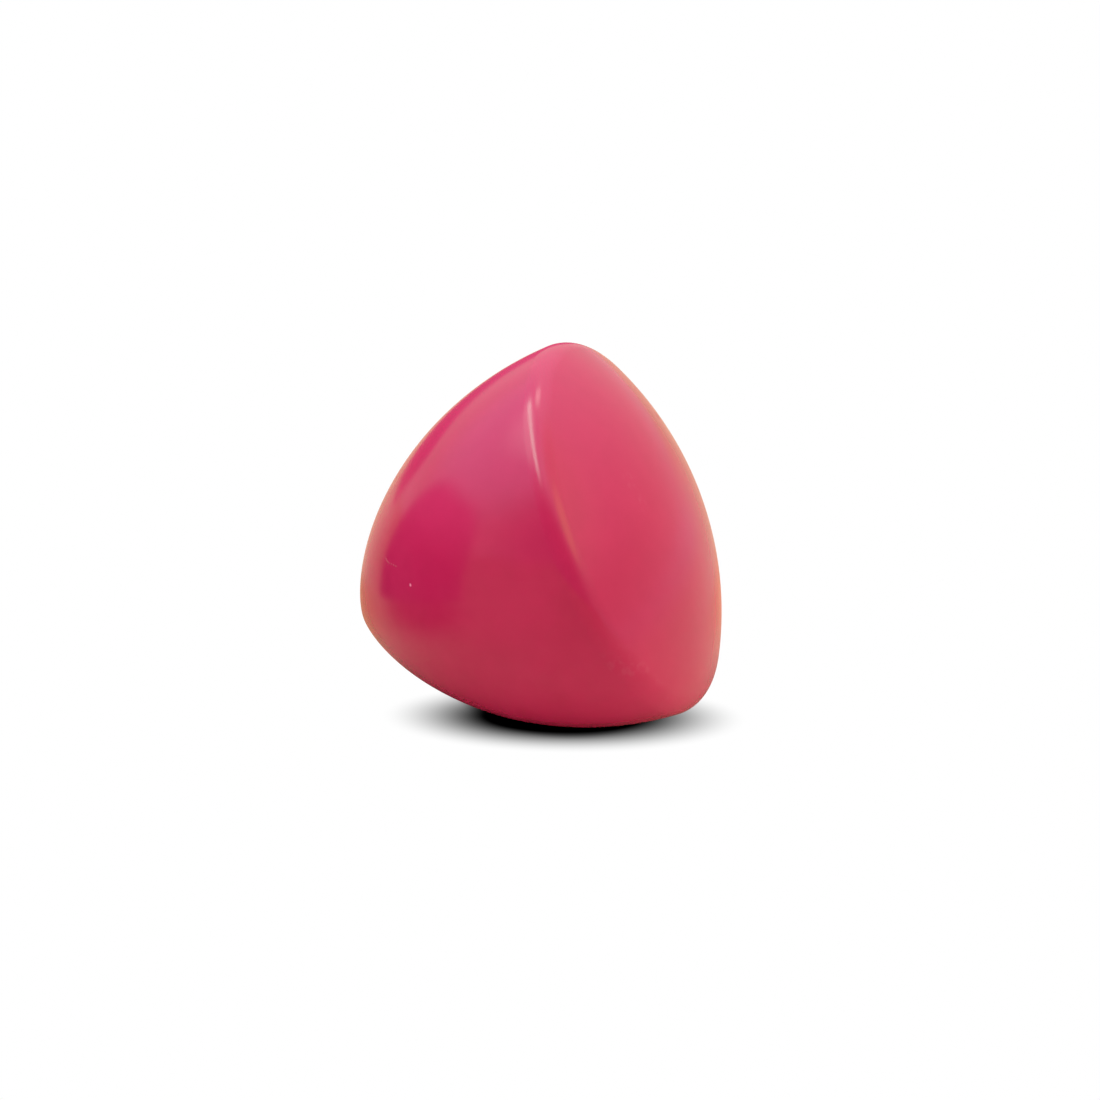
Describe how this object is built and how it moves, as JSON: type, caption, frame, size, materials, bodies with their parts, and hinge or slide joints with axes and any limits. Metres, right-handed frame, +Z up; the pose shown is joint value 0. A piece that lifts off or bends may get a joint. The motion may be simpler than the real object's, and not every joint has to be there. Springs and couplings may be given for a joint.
{
  "type": "rounded Reuleaux solid",
  "caption": "Glossy pink cast solid of constant width: a rounded Reuleaux triangle turned about its axis, with a blunt tip, a bulging side, a soft ridge and a domed base, lying on its side.",
  "frame": {"origin": "middle of the bottom of the bounding box, on the surface that the body lies on", "axes": "+Z up; the body's own axis lies in the XZ plane, with its tip towards -X and 26.3 degrees below the horizontal; Y runs across"},
  "size_m": [0.045, 0.045, 0.045],
  "materials": {
    "pink_resin": "smooth gloss, opaque pink resin"
  },
  "bodies": {
    "root": {"cast_body": "pink_resin"}
  },
  "joints": []
}
